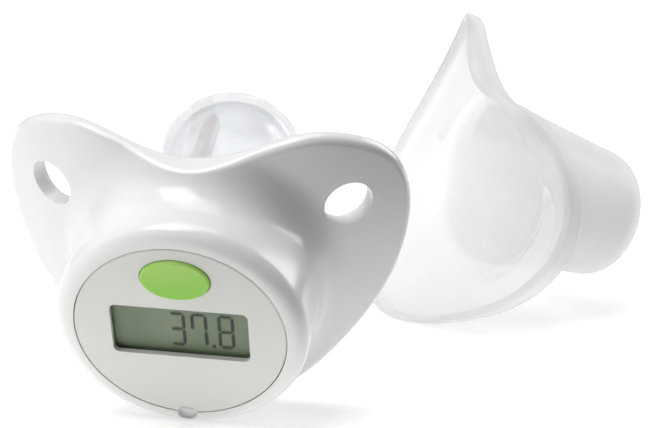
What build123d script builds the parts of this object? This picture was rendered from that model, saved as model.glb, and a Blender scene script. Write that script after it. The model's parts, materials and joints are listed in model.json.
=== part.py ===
from build123d import *
import math
import os

os.makedirs("parts", exist_ok=True)

# ---------------------------------------------------------------- dimensions (mm)
# Thermometer frame while modelling: origin on the drum axis at the middle of the
# shield plate, +Y out along the teat, -Y out of the display face, +Z up the face.
SHIELD_R = 46.0            # the shield plate is wrapped round a vertical cylinder
SHIELD_T = 2.8             # shield plate thickness
SHIELD_EDGE = 1.25         # rounding of the shield's rim, each side
CHIN_Z = -25.2             # flat chin that the soother stands on
DRUM_R = 18.9              # electronics drum, outside
DRUM_FRONT = -13.7         # y of the drum's front rim
DRUM_ROUND = 2.6           # rounding of the front rim
FLARE_R = 7.0              # concave blend from drum to shield
BORE_R = 16.6              # inside of the drum
LEDGE_R = 14.9             # opening of the ledge behind the face
LEDGE_Y0, LEDGE_Y1 = -11.9, -10.9
FACE_SEAT_R = 15.95        # seat of the front panel
PANEL_R = 15.85
PANEL_Y1 = -12.3           # rear of the front panel
HOLE_X, HOLE_Z, HOLE_R = 22.0, 12.0, 3.8   # wing holes
HOLE_EDGE = 0.5
BOSS_R, BOSS_AT, BOSS_ANG = 2.0, 13.2, 48.0
WIN_X, WIN_Z = 10.3, 4.58  # half sizes of the display opening
LENS_Y0 = -12.85
BTN_Z, BTN_A, BTN_B = 10.24, 5.17, 3.56    # oval button: centre height and half axes
BTN_TRAVEL = 0.35
PCB_Y0, PCB_Y1 = -9.3, -8.5
CAR_Y0, CAR_Y1 = -6.4, -5.0
BAT_Z, BAT_R, BAT_Y0, BAT_H = -10.9, 3.95, -10.3, 3.6   # LR41-size button cell
NECK_R, TEAT_WALL = 8.6, 1.5
BULB_R, BULB_Y = 11.8, 27.4
PROBE_X, PROBE_Z, PROBE_R, PROBE_BORE = -4.3, 3.2, 1.5, 0.9
PROBE_Y1, TIP_Y = 32.4, 35.4
RC_Y0, RC_Y1 = 0.2, 1.8    # rear cover
CAP_R = 50.0               # the cap's own rim is bent a little flatter than the shield
CAP_LIP, CAP_BACK, CAP_WALL, CAP_GAP, CAP_SKIN = -1.0, 2.5, 1.2, 0.2, 1.2
CAP_CROWN = 12.5           # y of the top of the cap's shoulder, where the tube starts
CAP_BASE = (19.3, 14.2, 3.6)   # oval foot of the tube: half width, half height, centre z
CAP_NECK_Y, CAP_NECK_R, CAP_NECK_Z = 36.1, 12.59, 1.28   # where the rounded end begins
CAP_END_Y, CAP_END_R = 43.5, 7.3           # end of the tube and its rounding

# Shield outline: polar radius about the drum axis against angle, right half.
OUTLINE = [(-90, 25.25), (-84, 25.32), (-78, 25.55), (-60, 25.63), (-45, 25.55), (-30, 26.2),
           (-10, 28.47), (5, 30.56), (15, 32.09), (25, 33.37), (35, 33.89), (45, 32.81),
           (55, 30.55), (65, 26.39), (75, 23.1), (90, 21.6)]

# ---------------------------------------------------------------- helpers
Y = Vector(0, 1, 0)


def cyl(r, y0, y1, x=0.0, z=0.0):
    """Cylinder along Y from y0 to y1."""
    return Pos(x, (y0 + y1) / 2, z) * Rot(90, 0, 0) * Cylinder(r, y1 - y0)


def box(x0, x1, y0, y1, z0, z1):
    return Pos((x0 + x1) / 2, (y0 + y1) / 2, (z0 + z1) / 2) * Box(x1 - x0, y1 - y0, z1 - z0)


def ring(r1, r0, y0, y1, x=0.0, z=0.0):
    return cyl(r1, y0, y1, x, z) - cyl(r0, y0 - 1, y1 + 1, x, z)


def xz_face(points):
    """Closed smooth outline through (x, z) points, as a face in the XZ plane."""
    return Face(Wire([Spline(*[(x, 0, z) for x, z in points], periodic=True)]))


def poly_face(points):
    return Face(Wire(Polyline(*[(x, 0, z) for x, z in points], close=True).edges()))


def prism(face, y0, y1):
    return extrude(Pos(0, y0, 0) * face, amount=y1 - y0, dir=(0, 1, 0))


def revolve_y(points):
    """Solid of revolution about Y from a closed (radius, y) polygon."""
    f = Face(Wire(Polyline(*[(r, y, 0) for r, y in points], close=True).edges()))
    return revolve(f, Axis.Y, 360)


def sheet_cyl(c, r_big=90):
    """Everything behind the bent surface y = c + sweep(x) (towards +Y)."""
    return Pos(0, SHIELD_R, 0) * Cylinder(SHIELD_R - c, r_big)


def sweep(x):
    return SHIELD_R - math.sqrt(SHIELD_R ** 2 - x * x)


def oval(a, b, y0, y1, z):
    f = Face(Wire([Ellipse(a, b).edge()]))
    f = Rot(90, 0, 0) * f
    return extrude(Pos(0, y0, z) * f, amount=y1 - y0, dir=(0, 1, 0))


def try_fillet(shape, pick, radii):
    for r in radii:
        try:
            out = fillet(pick(shape), r)
            if out.is_valid and out.volume > 0:
                print("  fillet", r)
                return out, r
        except Exception:
            pass
    print("  fillet skipped")
    return shape, 0.0


def half_to_full(half):
    pts = [(r * math.cos(math.radians(a)), r * math.sin(math.radians(a))) for a, r in half]
    left = [(-x, z) for x, z in reversed(pts[1:-1])]
    return pts + left


def grown(points, d):
    """Points of the smooth outline through `points`, moved outward by d."""
    e = Spline(*[(x, 0, z) for x, z in points], periodic=True)
    out = []
    n = 96
    for i in range(n):
        p, t = e.position_at(i / n), e.tangent_at(i / n)
        nx, nz = t.Z, -t.X
        if nx * p.X + nz * p.Z < 0:
            nx, nz = -nx, -nz
        out.append((p.X + d * nx, p.Z + d * nz))
    return out


BOSSES = [(BOSS_AT * math.cos(math.radians(a)) * s, BOSS_AT * math.sin(math.radians(a)) * q)
          for a in [BOSS_ANG] for s in (1, -1) for q in (1, -1)]
shield_pts = half_to_full(OUTLINE)
shield_face = xz_face(shield_pts)
N = {}

# ---------------------------------------------------------------- shield housing
# Bent plate and drum, joined by the concave flare, then trimmed to the butterfly outline.
half = SHIELD_T / 2
h = (sheet_cyl(-half) & cyl(38, -3, 22)) + cyl(DRUM_R, DRUM_FRONT, 12)
h = h - sheet_cyl(half)
h = h.solids().sort_by(SortBy.VOLUME)[-1]


def flare_edge(s):
    return [e for e in s.edges() if abs(e.bounding_box().size.X - 2 * DRUM_R) < 0.3
            and abs(e.bounding_box().size.Z - 2 * DRUM_R) < 0.3
            and e.bounding_box().max.Y > -3 and e.bounding_box().min.Y < 1.0
            and e.bounding_box().min.Y > DRUM_FRONT + 2]


h, flare_used = try_fillet(h, flare_edge, [FLARE_R, 6.0, 5.0, 4.0])
h, round_used = try_fillet(h, lambda s: [e for e in s.edges() if e.bounding_box().max.Y < DRUM_FRONT + 0.1],
                           [DRUM_ROUND, 2.0, 1.5])
h = h & prism(shield_face, -20, 26)
h = h.solids().sort_by(SortBy.VOLUME)[-1]


def rim_edges(s):
    """Edges of the trimmed outline (front and back), well outside the drum."""
    out = []
    for e in s.edges():
        p = e.position_at(0.5)
        if math.hypot(p.X, p.Z) > DRUM_R + 1.5 and e.position_at(0.5).Y > -8:
            a, b = e.position_at(0), e.position_at(1)
            onrim = all(min(math.hypot(q.X - u[0], q.Z - u[1]) for u in rim_ref) < 0.35 for q in (a, p, b))
            if onrim and abs(a.Y - b.Y) < 12 and e.length > 0.5:
                out.append(e)
    return out


rim_ref = grown(shield_pts, 0.0)
_dense = []
for i in range(len(rim_ref)):
    (x0, z0), (x1, z1) = rim_ref[i], rim_ref[(i + 1) % len(rim_ref)]
    _dense += [(x0 + (x1 - x0) * k / 6, z0 + (z1 - z0) * k / 6) for k in range(6)]
rim_ref = _dense
h, edge_used = try_fillet(h, rim_edges, [SHIELD_EDGE, 1.1, 0.9, 0.7, 0.5])

h = h - cyl(BORE_R, LEDGE_Y1, 12) - cyl(LEDGE_R, DRUM_FRONT - 1, 12) - cyl(FACE_SEAT_R, DRUM_FRONT - 1, LEDGE_Y0)
# thumb-nail notch at the foot of the face, for lifting the front panel
h = h - cyl(1.5, DRUM_FRONT - 1, DRUM_FRONT + 0.9, 0, -FACE_SEAT_R - 0.2)
for bx, bz in BOSSES:
    a = math.degrees(math.atan2(bz, bx))
    rib = Rot(0, -a, 0) * box(BOSS_AT, BORE_R + 0.6, -5.0, RC_Y0, -1.2, 1.2)
    h = h + (cyl(BOSS_R, -5.0, RC_Y0, bx, bz) + rib)
for bx, bz in BOSSES:
    h = h - cyl(0.8, -5.5, RC_Y0 + 0.5, bx, bz)
for s in (1, -1):
    y = sweep(HOLE_X)
    n = Vector(s * HOLE_X / SHIELD_R, -(SHIELD_R - y) / SHIELD_R, 0)
    pl = Plane(origin=Vector(s * HOLE_X, y, HOLE_Z) + n * -8, z_dir=n)
    h = h - extrude(pl * Circle(HOLE_R), amount=16)


def hole_edges(s):
    out = []
    for e in s.edges():
        c = e.center(CenterOf.MASS)
        if abs(abs(c.X) - HOLE_X) < 1.6 and abs(c.Z - HOLE_Z) < 0.6 and 2 * math.pi * 3.6 < e.length < 2 * math.pi * 4.1:
            out.append(e)
    return out


h, hole_used = try_fillet(h, hole_edges, [HOLE_EDGE, 0.4, 0.3])
N["shield_housing"] = h

# ---------------------------------------------------------------- rear cover and its screws
rc = cyl(BORE_R - 0.1, RC_Y0, RC_Y1) + cyl(10.6, RC_Y1, 3.6)
rc = rc - cyl(NECK_R + 0.15, -2, 6)
rc, _ = try_fillet(rc, lambda s: [e for e in s.edges() if abs(e.center().Y - 3.6) < 0.05 and e.length > 60], [0.6, 0.4])
for bx, bz in BOSSES:
    rc = rc - cyl(1.0, -2, 3, bx, bz) - cyl(1.85, 0.85, 3, bx, bz)
N["rear_cover"] = rc


def screw(x, z, y_head0, y_head1, y_end, head_r, flip):
    """Pan screw with a cross recess; head between y_head0 and y_head1, shank to y_end."""
    s = cyl(head_r, y_head0, y_head1, x, z) + cyl(0.78, min(y_head0, y_end), max(y_head1, y_end), x, z)
    yt0, yt1 = (y_head1 - 0.5, y_head1 + 0.5) if flip else (y_head0 - 0.5, y_head0 + 0.5)
    for a in (45, 135):
        s = s - (Pos(x, 0, z) * Rot(0, a, 0) * box(-head_r * 0.62, head_r * 0.62, yt0, yt1, -0.2, 0.2))
    return s


N["cover_screws"] = Compound(children=[screw(x, z, 0.85, 1.7, -2.2, 1.7, True) for x, z in BOSSES])
N["board_screws"] = Compound(children=[screw(x, z, PCB_Y0 - 0.8, PCB_Y0, -3.4, 1.45, False) for x, z in BOSSES])

# ---------------------------------------------------------------- silicone teat and probe


def teat_body(neck, bulb, y0, blend):
    """Neck, concave blend and ball as one turned profile."""
    rc_, dist = neck + blend, bulb + blend
    drop = math.sqrt(dist ** 2 - rc_ ** 2)
    yc = BULB_Y - drop
    ux, uy = -rc_ / dist - 1, drop / dist
    k = blend / math.hypot(ux, uy)
    edges = [Line((0, y0, 0), (neck, y0, 0)), Line((neck, y0, 0), (neck, yc, 0)),
             ThreePointArc((neck, yc, 0), (rc_ + ux * k, yc + uy * k, 0), (rc_ * bulb / dist, BULB_Y - drop * bulb / dist, 0)),
             ThreePointArc((rc_ * bulb / dist, BULB_Y - drop * bulb / dist, 0), (bulb, BULB_Y, 0), (0, BULB_Y + bulb, 0)),
             Line((0, BULB_Y + bulb, 0), (0, y0, 0))]
    return revolve(Face(Wire(edges)), Axis.Y, 360)


teat = teat_body(NECK_R, BULB_R, -1.2, 6.0) + cyl(11.0, -1.2, RC_Y0)
teat = teat - teat_body(NECK_R - TEAT_WALL, BULB_R - TEAT_WALL, -3.0, 7.5)
N["teat"] = teat
N["teat_clamp_ring"] = ring(10.9, 7.0, -2.4, -1.2) + ring(8.2, 7.0, -3.4, -2.4)
plug = cyl(6.9, -5.0, 1.0)
stem = plug + cyl(PROBE_R, 1.0, PROBE_Y1, PROBE_X, PROBE_Z)
stem, _ = try_fillet(stem, lambda s: [e for e in s.edges() if abs(e.center().Y - 1.0) < 0.05 and e.length > 30], [0.5])
stem = stem - cyl(PROBE_BORE, -6, PROBE_Y1 + 1, PROBE_X, PROBE_Z) - ring(5.6, 3.9, -6, -1.2, 0, 0)
stem = stem + (cyl(1.4, -5.0, -1.0, PROBE_X, PROBE_Z) - cyl(PROBE_BORE, -6, 0, PROBE_X, PROBE_Z))
N["probe_stem"] = stem
tip = cyl(PROBE_R, PROBE_Y1, TIP_Y, PROBE_X, PROBE_Z)
tip, _ = try_fillet(tip, lambda s: [e for e in s.edges() if abs(e.center().Y - TIP_Y) < 0.02], [0.8, 0.6])
tip = tip - cyl(PROBE_BORE, PROBE_Y1 - 1, TIP_Y - 0.5, PROBE_X, PROBE_Z)
N["sensor_cap"] = tip
N["thermistor_bead"] = Pos(PROBE_X, TIP_Y - 1.25, PROBE_Z) * Sphere(0.62)
N["thermistor_leads"] = Compound(children=[cyl(0.22, PCB_Y1, TIP_Y - 1.95, PROBE_X + s * 0.42, PROBE_Z) for s in (-1, 1)])

# ---------------------------------------------------------------- front panel, seal, window
p = cyl(PANEL_R, DRUM_FRONT + 0.02, PANEL_Y1)
p, _ = try_fillet(p, lambda s: [e for e in s.edges() if e.center().Y < DRUM_FRONT + 0.1], [0.3])
p = p + ring(14.8, 13.8, PANEL_Y1, -10.6)
win = box(-WIN_X, WIN_X, -15, -10, -WIN_Z, WIN_Z)
win = fillet(win.edges().filter_by(Axis.Y), 1.0)
p = p - win
seat = box(-WIN_X - 0.8, WIN_X + 0.8, LENS_Y0, -10, -WIN_Z - 0.6, WIN_Z + 0.6)
p = p - seat
p = p - oval(BTN_A + 0.12, BTN_B + 0.12, -15, -10, BTN_Z)
p = p - cyl(1.5, DRUM_FRONT - 1, DRUM_FRONT + 0.9, 0, -FACE_SEAT_R - 0.2)
N["front_panel"] = p
N["panel_seal"] = ring(15.8, 15.0, PANEL_Y1, LEDGE_Y0)
lens = box(-WIN_X - 0.7, WIN_X + 0.7, LENS_Y0, PANEL_Y1, -WIN_Z - 0.5, WIN_Z + 0.5)
N["display_window"] = fillet(lens.edges().filter_by(Axis.Y), 0.4)

# ---------------------------------------------------------------- button and switch
b = oval(BTN_A, BTN_B, DRUM_FRONT - 0.45, PANEL_Y1 + 0.05, BTN_Z)
b, _ = try_fillet(b, lambda s: [e for e in s.edges() if e.center().Y < DRUM_FRONT - 0.3], [0.4, 0.3])
b = b + box(-6.3, 6.3, PANEL_Y1 + 0.05, PANEL_Y1 + 0.6, BTN_Z - 1.4, BTN_Z + 1.4)
b = b + cyl(1.3, PANEL_Y1, -11.3, 0, BTN_Z)
N["power_button"] = b
SW = 10.24
N["switch_plunger"] = cyl(1.15, -11.25, -10.25, 0, SW)
sb = box(-3.0, 3.0, -10.8, PCB_Y0, SW - 1.8, SW + 1.8)
sb = fillet(sb.edges().filter_by(Axis.Y), 0.4)
N["switch_base"] = sb - cyl(1.25, -12, -9.8, 0, SW)

# ---------------------------------------------------------------- display stack
N["lcd_panel"] = box(-11.8, 11.8, -12.2, -11.1, -6.6, 6.1)
frame_ = box(-12.4, 12.4, -11.1, PCB_Y0, -6.85, 6.3) & cyl(13.6, -12, -8)
N["lcd_holder"] = frame_ - box(-11.3, 11.3, -12, -8, -6.3, 5.6)
N["zebra_connector"] = box(-10.4, 10.4, -11.1, PCB_Y0, -6.2, -4.4)

# seven-segment figures 37.8, laid on the display glass
DIG_H, SEG_T = 3.22, 0.52          # half height, bar thickness


def seg_h(x0, x1, z):
    t = SEG_T / 2
    return poly_face([(x0 + 0.08, z), (x0 + 0.08 + t, z + t), (x1 - 0.08 - t, z + t), (x1 - 0.08, z),
                      (x1 - 0.08 - t, z - t), (x0 + 0.08 + t, z - t)])


def seg_v(x, z0, z1):
    t = SEG_T / 2
    return poly_face([(x, z0 + 0.08), (x + t, z0 + 0.08 + t), (x + t, z1 - 0.08 - t), (x, z1 - 0.08),
                      (x - t, z1 - 0.08 - t), (x - t, z0 + 0.08 + t)])


def digit(x0, x1, on):
    t, zt, zb = SEG_T / 2, DIG_H - SEG_T / 2, -DIG_H + SEG_T / 2
    a, c = x0 + t, x1 - t
    segs = {"a": seg_h(a, c, zt), "g": seg_h(a, c, 0), "d": seg_h(a, c, zb),
            "b": seg_v(c, 0, zt), "c": seg_v(c, zb, 0), "f": seg_v(a, 0, zt), "e": seg_v(a, zb, 0)}
    return [segs[k] for k in on]


faces = digit(-1.9, 0.6, "abgcd") + digit(1.4, 3.9, "abcf") + digit(5.4, 7.9, "abcdefg")
faces.append(Face(Wire(Polyline((4.4, 0, -DIG_H), (4.95, 0, -DIG_H), (4.95, 0, -DIG_H + 0.55), (4.4, 0, -DIG_H + 0.55), close=True).edges())))
N["lcd_digits"] = Compound(children=[extrude(Pos(0, -12.25, -0.35) * f, amount=0.05, dir=(0, 1, 0)) for f in faces])

# ---------------------------------------------------------------- circuit board and what sits on it
pcb = cyl(14.6, PCB_Y0, PCB_Y1)
pcb = pcb - cyl(4.45, -12, -6, 0, BAT_Z) - box(-4.45, 4.45, -12, -6, -20, BAT_Z)
for bx, bz in BOSSES:
    pcb = pcb - cyl(1.0, -12, -6, bx, bz)
N["circuit_board"] = pcb
blob = Pos(1.2, PCB_Y1, 1.8) * Rot(-90, 0, 0) * (Cylinder(2.9, 0.5, align=(Align.CENTER, Align.CENTER, Align.MIN)))
blob, _ = try_fillet(blob, lambda s: [e for e in s.edges() if abs(e.center().Y - (PCB_Y1 + 0.5)) < 0.02], [0.35])
N["cob_chip"] = blob
comps = []
for cx_, cz_, ang, l, w_, t_ in [(-9.6, -0.5, 0, 1.6, 0.8, 0.5), (-9.6, -2.4, 0, 1.6, 0.8, 0.5), (-8.4, 4.6, 90, 1.6, 0.8, 0.5),
                                 (-4.6, 8.8, 0, 2.0, 1.25, 0.8), (1.0, 8.0, 0, 1.6, 0.8, 0.5), (4.4, 8.8, 90, 1.6, 0.8, 0.5),
                                 (-6.4, -5.2, 90, 2.0, 1.25, 0.8), (11.6, 4.4, 90, 2.0, 1.25, 0.8), (0.0, 11.4, 0, 3.2, 1.5, 1.1)]:
    comps.append(Pos(cx_, PCB_Y1 + t_ / 2, cz_) * Rot(0, ang, 0) * Box(l, t_, w_))
N["board_components"] = Compound(children=comps)

car = cyl(14.6, CAR_Y0, CAR_Y1) + (ring(14.6, 13.9, PCB_Y1, CAR_Y0) - box(-4.6, 4.6, -12, -3, -20, BAT_Z))
for bx, bz in BOSSES:
    car = car + cyl(1.9, PCB_Y1, CAR_Y0, bx, bz)
for bx, bz in BOSSES:
    car = car - cyl(1.0, -12, -4, bx, bz)
car = car - cyl(1.25, -7, -4, PROBE_X, PROBE_Z)
N["module_carrier"] = car
N["battery"] = (cyl(BAT_R, BAT_Y0 + 0.7, BAT_Y0 + BAT_H, 0, BAT_Z) + cyl(3.1, BAT_Y0, BAT_Y0 + 0.7, 0, BAT_Z))
N["battery_contact_back"] = box(-2.4, 2.4, BAT_Y0 + BAT_H, CAR_Y0, BAT_Z - 2.4, BAT_Z + 2.4)
clip = ring(4.3, 4.02, -9.2, -7.2, 0, BAT_Z) & box(-6, 6, -10, -6, BAT_Z - 0.4, BAT_Z + 6)
N["battery_contact_side"] = clip
N["buzzer_plate"] = cyl(5.0, CAR_Y0 - 0.2, CAR_Y0, 7.2, -1.0)
N["buzzer_ceramic"] = cyl(3.6, CAR_Y0 - 0.35, CAR_Y0 - 0.2, 7.2, -1.0)

# ---------------------------------------------------------------- protective cap (clear)
# A shallow rim with the shield's outline, a shoulder that rises to an oval foot, and a
# tube that turns from oval to round. Modelled over the shield, then laid beside it.


def cap_sheet(c):
    """Everything behind the cap's own bent surface (towards +Y)."""
    return Pos(0, CAP_R, 0) * Cylinder(CAP_R - c, 90)


def cap_bend(x):
    return CAP_R - math.sqrt(CAP_R ** 2 - x * x)


def cap_oval(y, inset):
    """Section of the tube at y as a face in the XZ plane, `inset` inside the outside."""
    t = (y - CAP_CROWN) / (CAP_NECK_Y - CAP_CROWN)
    ba, bb, bz = CAP_BASE
    ra = ba + (CAP_NECK_R - ba) * t - inset
    rb = bb + (CAP_NECK_R - bb) * t - inset
    zc = bz + (CAP_NECK_Z - bz) * t
    f = Face(Wire([Ellipse(ra, rb).edge()]))
    return Pos(0, y, zc) * Rot(90, 0, 0) * f


def cap_tube(y_foot, y_neck, inset, y_end, r_end):
    foot = loft([cap_oval(y_foot, inset), cap_oval(y_neck, inset)])
    end = cyl(CAP_NECK_R - inset - 0.08, y_neck - 2.0, y_end, 0, CAP_NECK_Z)
    end, _ = try_fillet(end, lambda s: [e for e in s.edges() if abs(e.center().Y - y_end) < 0.05 and e.length > 20],
                        [r_end, r_end - 1, r_end - 2])
    return foot + end


def cap_shoulder(points, face, level):
    prof = Face(Wire(Polyline(*[(0, y, z) for y, z in points], close=True).edges()))
    bar = extrude(Pos(-45, 0, 0) * prof, amount=90, dir=(1, 0, 0))
    return (bar & prism(face, -8, 30)) & cap_sheet(level)


outer = xz_face(grown(shield_pts, CAP_GAP + CAP_SKIN))
outer_top = xz_face(grown(shield_pts, CAP_GAP + CAP_SKIN - 1.6))
inner = xz_face(grown(shield_pts, CAP_GAP))
inner_top = xz_face(grown(shield_pts, CAP_GAP - 1.4))
tray = (cap_sheet(CAP_LIP) & prism(outer, -8, 30)) - cap_sheet(CAP_BACK)
tray = tray.solids().sort_by(SortBy.VOLUME)[-1]
shoulder = cap_shoulder([(1.6, -24.4), (CAP_CROWN + 0.4, -11.2), (CAP_CROWN + 0.4, 18.0), (1.6, 21.6)], outer_top, 1.8)
tube = cap_tube(CAP_CROWN - 3.5, CAP_NECK_Y, 0.0, CAP_END_Y, CAP_END_R)
cap = tray + shoulder
cap = cap + tube
print("cap outside", cap.volume, len(cap.solids()), cap.is_valid)
cut = (cap_sheet(CAP_LIP - 3) & prism(inner, -9, 30)) - cap_sheet(CAP_BACK - CAP_WALL)
cut = cut.solids().sort_by(SortBy.VOLUME)[-1]
hollow = cap_shoulder([(0.6, -23.0), (CAP_CROWN - 0.8, -10.4), (CAP_CROWN - 0.8, 17.2), (0.6, 20.2)], inner_top, 0.6)
bore = cap_tube(CAP_CROWN - 4.5, CAP_NECK_Y - 0.3, CAP_WALL, CAP_END_Y - CAP_WALL, CAP_END_R - CAP_WALL)
cap = cap - cut
cap = cap - hollow
cap = cap - bore
print("cap hollowed", cap.volume, len(cap.solids()), cap.is_valid)
# a small snap lug inside the lip near the top of each wing
for s in (1, -1):
    (lx0, lz0), (lx1, lz1) = (15.3 * s, 25.0), (20.9 * s, 24.1)
    run = math.hypot(lx1 - lx0, lz1 - lz0)
    lug = Cylinder(0.85, run)
    lug = Pos((lx0 + lx1) / 2, cap_bend(18) + 0.35, (lz0 + lz1) / 2) * Rot(0, math.degrees(math.atan2(lx1 - lx0, lz1 - lz0)), 0) * lug
    cap = cap + lug
cap = cap.solids().sort_by(SortBy.VOLUME)[-1]
N["protective_cap"] = cap

# ---------------------------------------------------------------- resting place
# The thermometer stands on the drum's lower front rim and on its chin.
fr, er = round_used, edge_used
Dy, Dz = DRUM_FRONT + fr, -(DRUM_R - fr)
Cy, Cz = -half + er, CHIN_Z + er
d, ang = math.hypot(Cy - Dy, Cz - Dz), math.atan2(Cz - Dz, Cy - Dy)
na = ang - math.acos((fr - er) / d)
ny, nz = math.cos(na), math.sin(na)
TILT = math.degrees(math.atan2(-ny, -nz))
LIFT = (ny * Cy + nz * Cz) + er
CAP_X, CAP_Z = Vector(0.41291, -0.91071, 0.01055), Vector(0.41045, 0.19641, 0.89048)
CAP_O = Vector(26.83, 73.737, -35.709)
CAP_AT = Location(Plane(origin=CAP_O, x_dir=CAP_X, z_dir=CAP_Z))
N["protective_cap"] = N["protective_cap"].moved(CAP_AT)
N = {name: shape.moved(Rot(TILT, 0, 0)) for name, shape in N.items()}


def extent(shapes):
    """Lowest and highest corner of the shapes, from their faceted surfaces."""
    vs = [v for sh in shapes for v in sh.tessellate(0.02, 0.2)[0]]
    return ([min(getattr(v, k) for v in vs) for k in "XYZ"], [max(getattr(v, k) for v in vs) for k in "XYZ"])


cap_lo, _ = extent([N["protective_cap"]])
body_lo, _ = extent([N["shield_housing"]])
print("lowest point of housing", body_lo[2], "expected", -LIFT, "of cap", cap_lo[2])
# the cap is set down on the same table as the thermometer
N["protective_cap"] = N["protective_cap"].moved(Pos(0, 0, body_lo[2] - cap_lo[2]))
lo, hi = extent([N[k] for k in ("shield_housing", "teat", "front_panel", "power_button", "protective_cap")])
SHIFT = Vector(-(lo[0] + hi[0]) / 2, -(lo[1] + hi[1]) / 2, -lo[2])
print("TILT", TILT)
print("SHIFT", SHIFT.X, SHIFT.Y, SHIFT.Z)
print("CAPUP", body_lo[2] - cap_lo[2])
print("BOX", hi[0] - lo[0], hi[1] - lo[1], hi[2] - lo[2])
for name, shape in N.items():
    shape = shape.moved(Location(SHIFT))
    shape.label = name
    export_step(shape, f"parts/{name}.step")
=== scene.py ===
import bpy
import bmesh
import json
import math
import numpy as np
from mathutils import Vector, Matrix


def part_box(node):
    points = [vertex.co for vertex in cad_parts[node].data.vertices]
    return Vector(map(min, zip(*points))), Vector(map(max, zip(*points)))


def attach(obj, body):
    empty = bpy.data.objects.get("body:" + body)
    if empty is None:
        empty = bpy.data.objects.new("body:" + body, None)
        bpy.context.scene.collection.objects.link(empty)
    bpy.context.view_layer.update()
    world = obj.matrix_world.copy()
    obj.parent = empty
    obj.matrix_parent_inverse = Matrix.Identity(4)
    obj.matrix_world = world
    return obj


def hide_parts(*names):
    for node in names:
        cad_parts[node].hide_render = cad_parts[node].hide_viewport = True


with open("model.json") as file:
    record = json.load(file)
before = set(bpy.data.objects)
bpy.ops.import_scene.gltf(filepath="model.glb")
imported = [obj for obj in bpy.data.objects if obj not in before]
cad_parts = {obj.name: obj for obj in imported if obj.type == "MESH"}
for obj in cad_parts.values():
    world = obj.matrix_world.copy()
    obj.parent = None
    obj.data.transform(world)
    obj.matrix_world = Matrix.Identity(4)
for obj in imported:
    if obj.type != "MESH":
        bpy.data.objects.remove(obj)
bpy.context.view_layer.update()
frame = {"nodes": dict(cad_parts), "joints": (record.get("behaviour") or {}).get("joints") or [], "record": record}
record = frame["record"]
nodes = frame["nodes"]
col = bpy.context.scene.collection

# ------------------------------------------------------------------ frames
# The thermometer's own frame (mm): +Y along the teat, -Y out of the display face.
joints = {j["name"]: j for j in frame["joints"]}
mounts = {m["name"]: m for m in record["mounts"]}
YL = np.array(joints["power_button_press"]["axis"], float)
YL /= np.linalg.norm(YL)
XL = np.array([1.0, 0, 0])
ZL = np.cross(XL, YL)
ROT = np.stack([XL, YL, ZL], 1)
SH_R = 46.0
HOLE = np.array([22.0, SH_R - math.sqrt(SH_R ** 2 - 22.0 ** 2), 12.0])
mid = (np.array(mounts["wing_hole_left"]["pos_m"]) + np.array(mounts["wing_hole_right"]["pos_m"])) / 2 * 1000
ORG = mid - ROT @ np.array([0, HOLE[1], HOLE[2]])


def row(p):
    """Thermometer frame, mm, to the row frame, m. Takes one point or an array of them."""
    p = np.asarray(p, float)
    return (p @ ROT.T + ORG) / 1000


def sweep(x):
    return SH_R - np.sqrt(np.maximum(SH_R ** 2 - np.asarray(x, float) ** 2, 0))


# ------------------------------------------------------------------ node material helpers
def new_mat(name):
    m = bpy.data.materials.new(name)
    m.use_nodes = True
    nt = m.node_tree
    for n in list(nt.nodes):
        nt.nodes.remove(n)
    out = nt.nodes.new("ShaderNodeOutputMaterial")
    b = nt.nodes.new("ShaderNodeBsdfPrincipled")
    nt.links.new(b.outputs[0], out.inputs[0])
    return m, nt, b


def setv(b, **kw):
    names = {"color": "Base Color", "rough": "Roughness", "metal": "Metallic", "ior": "IOR", "alpha": "Alpha",
             "trans": "Transmission Weight", "coat": "Coat Weight", "coat_rough": "Coat Roughness",
             "spec": "Specular IOR Level", "sss": "Subsurface Weight", "sss_scale": "Subsurface Scale",
             "sss_rad": "Subsurface Radius", "emit": "Emission Color", "emit_s": "Emission Strength"}
    for k, v in kw.items():
        s = b.inputs[names[k]]
        if k in ("color", "emit") and len(v) == 3:
            v = (*v, 1.0)
        s.default_value = v


def coords(nt, scale=(1, 1, 1)):
    tc = nt.nodes.new("ShaderNodeTexCoord")
    mp = nt.nodes.new("ShaderNodeMapping")
    mp.inputs["Scale"].default_value = scale
    nt.links.new(tc.outputs["Object"], mp.inputs["Vector"])
    return mp.outputs["Vector"]


def noise(nt, vec, scale, detail=4.0, rough=0.5, dist=0.0):
    n = nt.nodes.new("ShaderNodeTexNoise")
    n.inputs["Scale"].default_value = scale
    n.inputs["Detail"].default_value = detail
    n.inputs["Roughness"].default_value = rough
    n.inputs["Distortion"].default_value = dist
    nt.links.new(vec, n.inputs["Vector"])
    return n.outputs["Fac"]


def ramp(nt, fac, stops):
    r = nt.nodes.new("ShaderNodeValToRGB")
    el = r.color_ramp.elements
    while len(el) < len(stops):
        el.new(0.5)
    for e, (p, c) in zip(el, stops):
        e.position = p
        e.color = (*c, 1.0) if len(c) == 3 else c
    nt.links.new(fac, r.inputs["Fac"])
    return r.outputs["Color"]


def maprange(nt, fac, a, b, c, d):
    m = nt.nodes.new("ShaderNodeMapRange")
    for k, v in zip(("From Min", "From Max", "To Min", "To Max"), (a, b, c, d)):
        m.inputs[k].default_value = v
    nt.links.new(fac, m.inputs["Value"])
    return m.outputs["Result"]


def bump(nt, b, height, strength, dist=0.0001, prev=None):
    n = nt.nodes.new("ShaderNodeBump")
    n.inputs["Strength"].default_value = strength
    n.inputs["Distance"].default_value = dist
    nt.links.new(height, n.inputs["Height"])
    if prev is not None:
        nt.links.new(prev, n.inputs["Normal"])
    nt.links.new(n.outputs["Normal"], b.inputs["Normal"])
    return n.outputs["Normal"]


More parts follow.
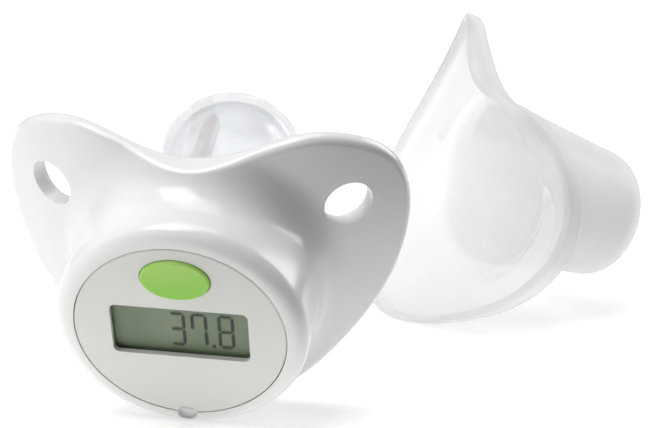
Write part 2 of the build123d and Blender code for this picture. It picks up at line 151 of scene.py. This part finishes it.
def moulded(name, color, rough=0.3, var=0.03, grain=2600, grain_s=0.06, wave=90, wave_s=0.05, spec=0.5, coat=0.0, sss=0.0, speck=0.0):
    """Moulded plastic: slight colour drift, faint flow waves, fine surface grain, small roughness changes."""
    m, nt, b = new_mat(name)
    v = coords(nt)
    n1 = noise(nt, v, wave, 3, 0.5, 0.4)
    c0 = tuple(max(0, c - var) for c in color)
    c1 = tuple(min(1, c + var * 0.6) for c in color)
    nt.links.new(ramp(nt, n1, [(0.3, c0), (0.7, c1)]), b.inputs["Base Color"])
    n2 = noise(nt, v, wave * 3.1, 5, 0.6)
    nt.links.new(maprange(nt, n2, 0.3, 0.7, rough * 0.85, rough * 1.2), b.inputs["Roughness"])
    p = bump(nt, b, n1, wave_s, 0.0004)
    n3 = noise(nt, v, grain, 2, 0.5)
    bump(nt, b, n3, grain_s, 0.00004, p)
    setv(b, spec=spec, coat=coat, coat_rough=0.08)
    if sss:
        setv(b, sss=sss, sss_scale=0.002, sss_rad=(1.0, 0.9, 0.8))
    return m


def put_mat(o, m):
    o.data.materials.clear()
    o.data.materials.append(m)


# ------------------------------------------------------------------ mesh helpers
def mesh_obj(name, verts, faces, mat=None, smooth=True, body=None, replaces=()):
    me = bpy.data.meshes.new(name)
    me.from_pydata([tuple(map(float, v)) for v in verts], [], [tuple(int(i) for i in f) for f in faces])
    me.validate()
    me.update()
    o = bpy.data.objects.new(name, me)
    col.objects.link(o)
    if smooth:
        me.polygons.foreach_set("use_smooth", [True] * len(me.polygons))
    bm = bmesh.new()
    bm.from_mesh(me)
    bmesh.ops.recalc_face_normals(bm, faces=bm.faces)
    bm.to_mesh(me)
    bm.free()
    if mat:
        me.materials.append(mat)
    if body:
        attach(o, body)
    if replaces:
        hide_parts(*replaces)
    return o


def ring_mesh(rings, pole0=None, pole1=None, closed=False):
    """Quads between rings of equal length; optional end points, or closed back to the first ring."""
    n = len(rings[0])
    verts = [p for r in rings for p in r]
    faces = []
    k = len(rings)
    for i in range(k if closed else k - 1):
        a, b = i * n, ((i + 1) % k) * n
        for j in range(n):
            j2 = (j + 1) % n
            faces.append((a + j, a + j2, b + j2, b + j))
    if pole0 is not None:
        verts.append(pole0)
        q = len(verts) - 1
        faces += [(q, (j + 1) % n, j) for j in range(n)]
    if pole1 is not None:
        verts.append(pole1)
        q = len(verts) - 1
        a = (k - 1) * n
        faces += [(q, a + j, a + (j + 1) % n) for j in range(n)]
    return verts, faces


def lathe(profile, n=96, cx=0.0, cz=0.0):
    """Rings about the thermometer's Y axis (or a parallel one) from (radius, y) points; r=0 ends become poles."""
    pole0 = pole1 = None
    pts = list(profile)
    if pts[0][0] < 1e-6:
        pole0 = row((cx, pts[0][1], cz))
        pts = pts[1:]
    if pts[-1][0] < 1e-6:
        pole1 = row((cx, pts[-1][1], cz))
        pts = pts[:-1]
    t = np.linspace(0, 2 * np.pi, n, endpoint=False)
    rings = [row(np.stack([cx + r * np.cos(t), np.full(n, y), cz + r * np.sin(t)], 1)) for r, y in pts]
    return ring_mesh(rings, pole0, pole1)


def arc(cx, cy, r, a0, a1, n=8):
    return [(cx + r * math.cos(math.radians(a0 + (a1 - a0) * i / n)), cy + r * math.sin(math.radians(a0 + (a1 - a0) * i / n))) for i in range(n + 1)]


def periodic_spline(pts, n):
    """Closed cubic spline through the points, n even samples, by chord length. Returns points and outward normals."""
    P = np.array(pts, float)
    m = len(P)
    h = np.linalg.norm(np.roll(P, -1, 0) - P, axis=1)
    A = np.zeros((m, m))
    B = np.zeros((m, 2))
    for i in range(m):
        hp, hn = h[i - 1], h[i]
        A[i, (i - 1) % m] += hp
        A[i, i] += 2 * (hp + hn)
        A[i, (i + 1) % m] += hn
        B[i] = 6 * ((P[(i + 1) % m] - P[i]) / hn - (P[i] - P[i - 1]) / hp)
    M = np.linalg.solve(A, B)
    fine = []
    for i in range(m):
        p0, p1, m0, m1, hh = P[i], P[(i + 1) % m], M[i], M[(i + 1) % m], h[i]
        for u in np.linspace(0, 1, 40, endpoint=False):
            a, b = 1 - u, u
            fine.append(a * p0 + b * p1 + ((a ** 3 - a) * m0 + (b ** 3 - b) * m1) * hh * hh / 6)
    F = np.array(fine)
    L = np.concatenate([[0], np.cumsum(np.linalg.norm(np.roll(F, -1, 0) - F, axis=1))])
    s = np.linspace(0, L[-1], n, endpoint=False)
    FX = np.vstack([F, F[:1]])
    S = np.stack([np.interp(s, L, FX[:, 0]), np.interp(s, L, FX[:, 1])], 1)
    T = np.roll(S, -1, 0) - np.roll(S, 1, 0)
    T /= np.linalg.norm(T, axis=1)[:, None]
    N = np.stack([T[:, 1], -T[:, 0]], 1)
    if (N * S).sum() < 0:
        N = -N
    return S, N


# ------------------------------------------------------------------ camera, lights, floor
AZ, EL, ROLL, FPX, CX, CY, DIST = 0.1719491582, 0.6716565576, -0.0347622276, 2034.77572, 198.262304, 273.448283, 307.807876
back = np.array([math.sin(AZ) * math.cos(EL), -math.cos(AZ) * math.cos(EL), math.sin(EL)])
right = np.array([math.cos(AZ), math.sin(AZ), 0.0])
upv = np.cross(back, right)
c_, s_ = math.cos(ROLL), math.sin(ROLL)
cr, cu = c_ * right + s_ * upv, -s_ * right + c_ * upv
X0, Y0 = (CX - 325) / FPX * DIST, -(CY - 214) / FPX * DIST
cam_pos = row(DIST * back - X0 * cr - Y0 * cu)
R3 = np.stack([ROT @ cr, ROT @ cu, ROT @ back], 1)
cam = bpy.data.cameras.new("camera")
cam.sensor_width = 36.0
cam.lens = FPX / 650 * 36
cam.clip_start = 0.01
cam_o = bpy.data.objects.new("camera", cam)
col.objects.link(cam_o)
cam_o.matrix_world = Matrix([[*R3[0], cam_pos[0]], [*R3[1], cam_pos[1]], [*R3[2], cam_pos[2]], [0, 0, 0, 1]])
bpy.context.scene.camera = cam_o


def area(name, loc, target, size, energy, color=(1, 1, 1), sy=None):
    d = bpy.data.lights.new(name, "AREA")
    d.energy = energy
    d.color = color
    d.size = size
    if sy:
        d.shape = "RECTANGLE"
        d.size_y = sy
    o = bpy.data.objects.new(name, d)
    col.objects.link(o)
    o.location = loc
    o.rotation_euler = (Vector(target) - Vector(loc)).to_track_quat("-Z", "Y").to_euler()
    return o


TGT = (-0.005, 0.0, 0.025)
area("key", (-0.22, -0.38, 0.72), TGT, 0.45, 3.5)
area("top", (0.02, -0.10, 0.85), TGT, 0.50, 1.9)
area("back_right", (0.45, 0.35, 0.30), (0.03, 0.045, 0.03), 0.40, 1.7)
area("left", (-0.60, -0.20, 0.30), TGT, 0.40, 0.35)

# a bright studio on the left and overhead that falls off to the right
world = bpy.data.worlds.new("world")
bpy.context.scene.world = world
world.use_nodes = True
wt = world.node_tree
bg = wt.nodes["Background"]
tcw = wt.nodes.new("ShaderNodeTexCoord")
spw = wt.nodes.new("ShaderNodeSeparateXYZ")
wt.links.new(tcw.outputs["Generated"], spw.inputs[0])
addw = wt.nodes.new("ShaderNodeMath")
addw.operation = "MULTIPLY_ADD"
addw.inputs[1].default_value = -0.75
wt.links.new(spw.outputs["X"], addw.inputs[0])
mulz = wt.nodes.new("ShaderNodeMath")
mulz.operation = "MULTIPLY"
mulz.inputs[1].default_value = 0.55
wt.links.new(spw.outputs["Z"], mulz.inputs[0])
wt.links.new(mulz.outputs[0], addw.inputs[2])
wr = wt.nodes.new("ShaderNodeValToRGB")
mpw = wt.nodes.new("ShaderNodeMapRange")
mpw.inputs["From Min"].default_value = -0.9
mpw.inputs["From Max"].default_value = 1.1
wt.links.new(addw.outputs[0], mpw.inputs["Value"])
wt.links.new(mpw.outputs["Result"], wr.inputs["Fac"])
wr.color_ramp.elements[0].position = 0.22
wr.color_ramp.elements[0].color = (0.0, 0.0, 0.0, 1)
wr.color_ramp.elements[1].position = 0.85
wr.color_ramp.elements[1].color = (0.56, 0.56, 0.56, 1)
wt.links.new(wr.outputs["Color"], bg.inputs[0])
bg.inputs[1].default_value = 0.80

fm, nt, b = new_mat("floor_paper")
v = coords(nt)
nf = noise(nt, v, 40, 3)
sf = nt.nodes.new("ShaderNodeSeparateXYZ")
nt.links.new(v, sf.inputs[0])
# painted shade: the paper's colour is darkened towards the front right of the set, so less light bounces onto the
# thermometer's right side; an emission glow keeps the paper bright near the object and far behind it
fall = nt.nodes.new("ShaderNodeMath")
fall.operation = "MULTIPLY_ADD"
fall.inputs[1].default_value = -0.9
nt.links.new(sf.outputs["Y"], fall.inputs[0])
nt.links.new(sf.outputs["X"], fall.inputs[2])
painted_floor_shade = maprange(nt, fall.outputs[0], 0.078, 0.115, 1.0, 0.10)
glow = nt.nodes.new("ShaderNodeMath")
glow.operation = "ADD"
nt.links.new(maprange(nt, fall.outputs[0], 0.078, 0.10, 0.32, 0.0), glow.inputs[0])
nt.links.new(maprange(nt, sf.outputs["Y"], 0.10, 0.55, 0.0, 0.75), glow.inputs[1])
nt.links.new(glow.outputs[0], b.inputs["Emission Strength"])
mixf = nt.nodes.new("ShaderNodeVectorMath")
mixf.operation = "SCALE"
nt.links.new(ramp(nt, nf, [(0.3, (0.88, 0.88, 0.88)), (0.7, (0.9, 0.9, 0.9))]), mixf.inputs[0])
nt.links.new(painted_floor_shade, mixf.inputs["Scale"])
nt.links.new(mixf.outputs[0], b.inputs["Base Color"])
setv(b, rough=0.9, spec=0.1, emit=(1, 1, 1))
fl = mesh_obj("floor", [(-4, -4, 0), (4, -4, 0), (4, 4, 0), (-4, 4, 0)], [(0, 1, 2, 3)], fm, smooth=False)

vs = bpy.context.scene.view_settings
vs.view_transform = "Standard"
vs.look = "None"
vs.exposure = 0.0

# ------------------------------------------------------------------ materials
MAT = {}
MAT["white_housing"] = moulded("white_abs", (0.83, 0.83, 0.825), 0.22, 0.012, 2200, 0.03, 70, 0.04, spec=0.5, coat=0.25, sss=0.08)
MAT["face_grey"] = moulded("face_satin", (0.74, 0.74, 0.71), 0.42, 0.015, 3800, 0.12, 110, 0.03, spec=0.4)
MAT["white_inner"] = moulded("inner_abs", (0.78, 0.78, 0.76), 0.45, 0.02, 2000, 0.08, 60, 0.05)
MAT["black_inner"] = moulded("black_abs", (0.03, 0.03, 0.032), 0.4, 0.01, 2600, 0.1, 80, 0.05)
MAT["black_rubber"] = moulded("zebra_rubber", (0.045, 0.045, 0.05), 0.7, 0.02, 3000, 0.2, 400, 0.2)
MAT["plunger_white"] = moulded("plunger_plastic", (0.8, 0.8, 0.8), 0.35, 0.02)
MAT["probe_plastic"] = moulded("probe_satin", (0.74, 0.66, 0.62), 0.38, 0.02, 2600, 0.08, 160, 0.05, sss=0.1)
MAT["probe_tip"] = moulded("probe_tip_satin", (0.72, 0.65, 0.61), 0.32, 0.02, 2600, 0.06, 160, 0.04, sss=0.1)
MAT["seal_silicone"] = moulded("seal_rubber", (0.5, 0.5, 0.5), 0.55, 0.02, 1500, 0.1)
MAT["black_epoxy"] = moulded("epoxy_blob", (0.012, 0.012, 0.013), 0.22, 0.004, 900, 0.1, 300, 0.3)
MAT["component_body"] = moulded("component_ceramic", (0.32, 0.24, 0.17), 0.5, 0.08, 2500, 0.2, 600, 0.1)
MAT["ceramic_white"] = moulded("piezo_face", (0.80, 0.79, 0.75), 0.3, 0.03, 3000, 0.15, 300, 0.1)
MAT["glass_bead"] = moulded("bead_glass", (0.45, 0.2, 0.06), 0.1, 0.04, 900, 0.02)
MAT["wire_enamel"] = moulded("wire_enamel", (0.5, 0.16, 0.05), 0.25, 0.04, 2500, 0.05)
MAT["lcd_ink"] = moulded("lcd_segments", (0.014, 0.018, 0.012), 0.35, 0.004, 3000, 0.02, 300, 0.02, spec=0.2)


def metal(name, color, rough, brush=True):
    m, nt, b = new_mat(name)
    v = coords(nt, (1, 1, 14) if brush else (1, 1, 1))
    n1 = noise(nt, v, 900, 3, 0.6)
    c0 = tuple(c * 0.86 for c in color)
    nt.links.new(ramp(nt, n1, [(0.25, c0), (0.75, color)]), b.inputs["Base Color"])
    nt.links.new(maprange(nt, n1, 0.3, 0.7, rough * 0.8, rough * 1.3), b.inputs["Roughness"])
    bump(nt, b, n1, 0.15, 0.00003)
    setv(b, metal=1.0)
    return m


MAT["steel"] = metal("zinc_screw", (0.62, 0.62, 0.63), 0.28)
MAT["battery_steel"] = metal("battery_can", (0.72, 0.72, 0.70), 0.22)
MAT["contact_metal"] = metal("contact_strip", (0.68, 0.66, 0.60), 0.25)
MAT["brass"] = metal("rolled_brass", (0.78, 0.58, 0.25), 0.25)

# printed circuit board: solder mask with faint copper tracks showing through
m, nt, b = new_mat("solder_mask")
v = coords(nt, (1, 1, 1))
br = nt.nodes.new("ShaderNodeTexBrick")
br.inputs["Scale"].default_value = 420
br.inputs["Mortar Size"].default_value = 0.10
br.inputs["Color1"].default_value = (0.012, 0.115, 0.045, 1)
br.inputs["Color2"].default_value = (0.016, 0.135, 0.055, 1)
br.inputs["Mortar"].default_value = (0.03, 0.22, 0.09, 1)
nt.links.new(v, br.inputs["Vector"])
nt.links.new(br.outputs["Color"], b.inputs["Base Color"])
bump(nt, b, br.outputs["Fac"], 0.25, 0.00005)
setv(b, rough=0.3, coat=0.4, coat_rough=0.1)
MAT["board_green"] = m

# button: soft satin green, with painted light: its colour is a little lighter toward its upper edge, where the light
# falls
m, nt, b = new_mat("button_satin_green")
v = coords(nt)
n1 = noise(nt, v, 120, 3)
sep = nt.nodes.new("ShaderNodeSeparateXYZ")
nt.links.new(v, sep.inputs[0])
bz0, bz1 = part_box("power_button")
# painted light: 0 at the button's bottom, 1 at its top, added to the colour ramp
g = maprange(nt, sep.outputs["Z"], bz0[2], bz1[2], 0.0, 1.0)
mx = nt.nodes.new("ShaderNodeMath")
mx.operation = "MULTIPLY_ADD"
mx.inputs[1].default_value = 0.16
nt.links.new(n1, mx.inputs[0])
nt.links.new(g, mx.inputs[2])
nt.links.new(ramp(nt, mx.outputs[0], [(0.15, (0.285, 0.62, 0.075)), (1.0, (0.43, 0.70, 0.155))]), b.inputs["Base Color"])
nt.links.new(maprange(nt, n1, 0.3, 0.7, 0.36, 0.48), b.inputs["Roughness"])
bump(nt, b, noise(nt, v, 3200, 2), 0.08, 0.00004)
setv(b, sss=0.15, sss_scale=0.0015, sss_rad=(0.6, 1.0, 0.3), spec=0.4)
MAT["button_green"] = m

# liquid crystal glass: grey-green, with painted shade from the recess: darker toward its left edge, lighter toward the
# right, with a faint fine grain
m, nt, b = new_mat("lcd_cell")
v = coords(nt)
n1 = noise(nt, v, 110, 2, 0.4)
sepl = nt.nodes.new("ShaderNodeSeparateXYZ")
nt.links.new(v, sepl.inputs[0])
lx0, lx1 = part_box("lcd_panel")
# painted shade: the glass colour runs darker toward its left edge and lighter toward the right
painted_recess_shade = maprange(nt, sepl.outputs["X"], lx0[0], lx1[0], -0.12, 0.10)
ad = nt.nodes.new("ShaderNodeMath")
ad.operation = "ADD"
nt.links.new(painted_recess_shade, ad.inputs[0])
nt.links.new(n1, ad.inputs[1])
nt.links.new(ramp(nt, ad.outputs[0], [(0.30, (0.135, 0.185, 0.098)), (0.75, (0.215, 0.265, 0.165))]), b.inputs["Base Color"])
bump(nt, b, noise(nt, v, 2600, 2), 0.03, 0.00002)
setv(b, rough=0.28, spec=0.45)
MAT["lcd_glass"] = m


def clear(name, tint, rough, ior, alpha, wave=120, wave_s=0.03, fine=1500, fine_s=0.0):
    m, nt, b = new_mat(name)
    v = coords(nt)
    n1 = noise(nt, v, wave, 3, 0.5, 0.6)
    nt.links.new(maprange(nt, n1, 0.3, 0.7, rough * 0.7, rough * 1.4), b.inputs["Roughness"])
    t0 = tuple(c * 0.985 for c in tint)
    nt.links.new(ramp(nt, n1, [(0.3, t0), (0.7, tint)]), b.inputs["Base Color"])
    p = bump(nt, b, n1, wave_s, 0.0004)
    if fine_s:
        bump(nt, b, noise(nt, v, fine, 2), fine_s, 0.00004, p)
    setv(b, trans=1.0, ior=ior, alpha=alpha)
    return m


MAT["clear_window"] = clear("window_clear", (0.97, 0.99, 0.97), 0.02, 1.30, 0.5, 90, 0.01)


def hazy(name, c0, c1, rough, trans, alpha, wave=60, fine=900, ior=1.2):
    """Milky polypropylene: cloudy colour, soft waves, faint grain, partly see-through."""
    m, nt, b = new_mat(name)
    v = coords(nt)
    n1 = noise(nt, v, wave, 4, 0.55, 0.5)
    nt.links.new(ramp(nt, n1, [(0.3, c0), (0.7, c1)]), b.inputs["Base Color"])
    nt.links.new(maprange(nt, n1, 0.3, 0.7, rough * 0.8, rough * 1.25), b.inputs["Roughness"])
    nt.links.new(maprange(nt, n1, 0.2, 0.8, alpha - 0.02, alpha + 0.02), b.inputs["Alpha"])
    p = bump(nt, b, n1, 0.04, 0.0004)
    bump(nt, b, noise(nt, v, fine, 2), 0.02, 0.00003, p)
    setv(b, trans=trans, ior=ior, spec=0.30)
    return m


MAT["clear_silicone"] = hazy("silicone_hazy", (0.85, 0.87, 0.905), (0.88, 0.895, 0.92), 0.12, 0.70, 0.54, 160, 1200, 1.24)
MAT["clear_cap"] = hazy("cap_hazy", (0.845, 0.847, 0.85), (0.875, 0.877, 0.877), 0.36, 0.30, 0.68)
# painted shade: a darker copy of the cap material for the front band of the lip
CAP_LIP_SHADED_MAT = hazy("cap_lip_painted_shade", (0.70, 0.70, 0.705), (0.75, 0.75, 0.75), 0.34, 0.25, 0.80)

slot_of = {s["node"]: s["material_slot"] for s in record["subparts"]}
for n, o in nodes.items():
    put_mat(o, MAT[slot_of[n]])
    o.data.polygons.foreach_set("use_smooth", [True] * len(o.data.polygons))

# ------------------------------------------------------------------ teat: one turned, hollow silicone shell
NECK, WALL, BULB, BULB_Y, BLEND = 8.6, 1.5, 11.8, 27.4, 6.0


def teat_profile(neck, bulb, blend):
    rc, dist = neck + blend, bulb + blend
    drop = math.sqrt(dist ** 2 - rc ** 2)
    yc = BULB_Y - drop
    a_end = math.degrees(math.atan2(drop, -rc))
    pts = arc(rc, yc, blend, 180, a_end, 10)
    a0 = math.degrees(math.atan2(-drop, rc))
    pts += arc(0, BULB_Y, bulb, a0, 90, 34)[1:]
    pts[-1] = (0.0, BULB_Y + bulb)
    return pts, yc


op, oyc = teat_profile(NECK, BULB, BLEND)
ip, iyc = teat_profile(NECK - WALL, BULB - WALL, BLEND + WALL)
outer = [(11.0, -1.05), (11.0, 0.05), (10.85, 0.2), (9.0, 0.2), (8.6, 0.55)] + [(NECK, y) for y in np.linspace(1.5, oyc - 0.5, 10)] + op
inner = [(NECK - WALL, y) for y in np.linspace(-1.0, iyc - 0.5, 12)] + ip
prof = outer + [(0.0, BULB_Y + BULB - WALL)]
v1, f1 = lathe(outer, 128)
v2, f2 = lathe(inner, 128)
k = len(v1)
verts = list(v1) + list(v2)
faces = list(f1) + [tuple(i + k for i in f) for f in f2]
n = 128
faces += [(j, (j + 1) % n, k + (j + 1) % n, k + j) for j in range(n)]
teat = mesh_obj("teat_shell", verts, faces, MAT["clear_silicone"], True, "thermometer", ["teat"])

# ------------------------------------------------------------------ bevelled tip on the end of the probe stem
PX, PZ, PR, PY1, TIPY = -4.3, 3.2, 1.5, 32.4, 35.4
tip_prof = [(0.0, PY1 - 0.02), (0.9, PY1 - 0.02), (PR - 0.04, PY1), (PR, PY1 + 0.06)]
tip_prof += [(PR, PY1 + 0.5), (PR - 0.05, PY1 + 0.9)]
tip_prof += arc(0.55, TIPY - 0.42, 0.40, 25, 90, 6)
tip_prof += [(0.3, TIPY - 0.01), (0.0, TIPY)]
tv, tf = lathe(tip_prof, 64, PX, PZ)
tip = mesh_obj("probe_tip_bevelled", tv, tf, MAT["probe_tip"], True, "thermometer", ["sensor_cap"])

# ------------------------------------------------------------------ protective cap: one lofted hazy shell
# The cap's own frame (mm): same outline as the shield, tube along +Y. It lies propped on its rim.
cap_x = np.array([0.41291, -0.91071, 0.01055])
cap_z = np.array([0.41045, 0.19641, 0.89048])
cap_z /= np.linalg.norm(cap_z)
cap_x -= (cap_x @ cap_z) * cap_z
cap_x /= np.linalg.norm(cap_x)
CAP_ROT = ROT @ np.stack([cap_x, np.cross(cap_z, cap_x), cap_z], 1)
CAP_ORG = ROT @ np.array([26.83, 73.737, -35.709]) + ORG


def crow(p):
    """Cap frame, mm, to the row frame, m."""
    return (np.asarray(p, float) @ CAP_ROT.T + CAP_ORG) / 1000


CAP_R = 50.0
OUTLINE = [(-90, 25.25), (-84, 25.32), (-78, 25.55), (-60, 25.63), (-45, 25.55), (-30, 26.2), (-10, 28.47), (5, 30.56),
           (15, 32.09), (25, 33.37), (35, 33.89), (45, 32.81), (55, 30.55), (65, 26.39), (75, 23.1), (90, 21.6)]
half_o = [(r * math.cos(math.radians(a)), r * math.sin(math.radians(a))) for a, r in OUTLINE]
full_o = half_o + [(-x, z) for x, z in reversed(half_o[1:-1])]
NC = 288
CS, CN = periodic_spline(full_o, NC)


def bend(x):
    return CAP_R - np.sqrt(np.maximum(CAP_R ** 2 - np.asarray(x, float) ** 2, 0))


def rim(d, k):
    """Ring at distance d outside the shield's outline, k behind the bent sheet."""
    q = CS + d * CN
    return np.stack([q[:, 0], bend(q[:, 0]) + k, q[:, 1]], 1)


def oval_ring(y, a, b, zc):
    phi = np.arctan2((CS[:, 1] - zc) / b, CS[:, 0] / a)
    return np.stack([a * np.cos(phi), np.full(NC, y), zc + b * np.sin(phi)], 1)


def corner(p, c, q, e0, e1, n):
    """Rounded corner at ring c between straight runs to rings p and q."""
    u = p - c
    w = q - c
    a = c + u / np.linalg.norm(u, axis=1)[:, None] * e0
    b = c + w / np.linalg.norm(w, axis=1)[:, None] * e1
    return [(1 - t) ** 2 * a + 2 * t * (1 - t) * c + t * t * b for t in np.linspace(0, 1, n + 1)]


def run(a, b, n):
    return [a + (b - a) * t for t in np.linspace(0, 1, n + 2)[1:-1]]


BASE_Y, BASE_A, BASE_B, BASE_Z = 12.5, 19.2, 14.6, 3.2
NECK_Y, NECK_RC, NECK_Z2 = 36.13, 12.59, 1.28
END_Y, END_RR, WALLC = 43.52, 7.39, 1.15
# outside, from the front of the lip to the closed end
o_lip = rim(1.4, -1.0)
o_back = rim(1.3, 2.35)
o_base = oval_ring(BASE_Y, BASE_A, BASE_B, BASE_Z)
o_neck = oval_ring(NECK_Y, NECK_RC, NECK_RC, NECK_Z2)
rings = [rim(0.8, -1.0), rim(1.2, -1.0), rim(1.34, -0.94), rim(1.4, -0.8), rim(1.42, 0.0), rim(1.4, 0.8)]
cb = corner(o_lip, o_back, o_base, 1.4, 1.5, 7)
rings += cb
cb2 = corner(o_back, o_base, o_neck, 2.6, 2.6, 8)
rings += run(cb[-1], cb2[0], 6) + cb2
rings += run(cb2[-1], o_neck, 8)
for t in np.linspace(0, 90, 10):
    r = NECK_RC - END_RR + END_RR * math.cos(math.radians(t))
    y = NECK_Y + END_RR * math.sin(math.radians(t))
    rings.append(oval_ring(y, r, r, NECK_Z2))
rings += [oval_ring(END_Y + 0.02, r, r, NECK_Z2) for r in (3.6, 2.0)]
v1, f1 = ring_mesh(rings, None, np.array([0.0, END_Y + 0.03, NECK_Z2]))
# inside, from the lip to the closed end; the mouth of the tube is the visible oval crease
t_ = np.arctan2((CS[:, 1] - 2.08) / 13.58, CS[:, 0] / 18.31)
i_mouth = np.stack([18.31 * np.cos(t_), bend(18.31 * np.cos(t_)) + 11.49, 2.08 + 13.58 * np.sin(t_)], 1)
i_lip = rim(0.2, -1.0)
i_root = rim(0.15, 1.25)
i_neck = oval_ring(NECK_Y, NECK_RC - WALLC, NECK_RC - WALLC, NECK_Z2)
inner = [rim(0.35, -1.0), rim(0.24, -0.94), rim(0.2, -0.8), rim(0.2, -0.2)]
c1 = corner(i_lip, i_root, i_mouth, 0.7, 0.9, 5)
c2 = corner(i_root, i_mouth, i_neck, 1.4, 1.4, 7)
inner += c1 + run(c1[-1], c2[0], 6) + c2 + run(c2[-1], i_neck, 8)
for t in np.linspace(0, 90, 9):
    r = NECK_RC - END_RR + (END_RR - WALLC) * math.cos(math.radians(t))
    y = NECK_Y + (END_RR - WALLC) * math.sin(math.radians(t))
    inner.append(oval_ring(y, r, r, NECK_Z2))
inner += [oval_ring(END_Y - WALLC, r, r, NECK_Z2) for r in (3.4, 2.0)]
v2, f2 = ring_mesh(inner, None, np.array([0.0, END_Y - WALLC, NECK_Z2]))
k = len(v1)
cv = crow(np.array(list(v1) + list(v2)))
drop = np.array([0, 0, cv[:, 2].min()])
CAP_ORG = CAP_ORG - drop * 1000
cv = cv - drop
cf = list(f1) + [tuple(i + k for i in f) for f in f2]
cf += [(j, (j + 1) % NC, k + (j + 1) % NC, k + j) for j in range(NC)]
cap = mesh_obj("cap_shell", cv, cf, MAT["clear_cap"], True, "protective_cap", ["protective_cap"])
cap.data.materials.append(CAP_LIP_SHADED_MAT)
# painted shade: faces on the lip's front band take the darker lip material
for p in cap.data.polygons:
    q = (np.array(p.center) * 1000 - CAP_ORG) @ CAP_ROT
    if q[1] - float(bend(q[0])) < -0.78:
        p.material_index = 1

# snap lugs inside the lip, one near the top of each wing
for s in (1, -1):
    pa = np.array([15.3 * s, 0.0, 24.95])
    pb = np.array([20.9 * s, 0.0, 24.05])
    pts_l = []
    n_l, n_r = 16, 12
    axis_l = (pb - pa) / np.linalg.norm(pb - pa)
    nrm_l = np.array([-axis_l[2], 0, axis_l[0]]) * s
    if nrm_l[2] > 0:
        nrm_l = -nrm_l
    lr = []
    for i in range(n_l + 1):
        u = i / n_l
        c = pa + (pb - pa) * u
        c[1] = bend(c[0]) + 0.25
        taper = math.sqrt(max(0.0, 1 - abs(2 * u - 1) ** 6))
        th = np.linspace(0, 2 * np.pi, n_r, endpoint=False)
        lr.append(c + 0.95 * taper * np.outer(np.cos(th), nrm_l) + 0.62 * taper * np.outer(np.sin(th), np.array([0, 1.0, 0])) + 1e-4)
    vl, flg = ring_mesh(lr[1:-1], lr[0].mean(0), lr[-1].mean(0))
    mesh_obj("cap_lug_right" if s > 0 else "cap_lug_left", crow(np.array(vl)), flg, MAT["clear_cap"], True, "protective_cap")
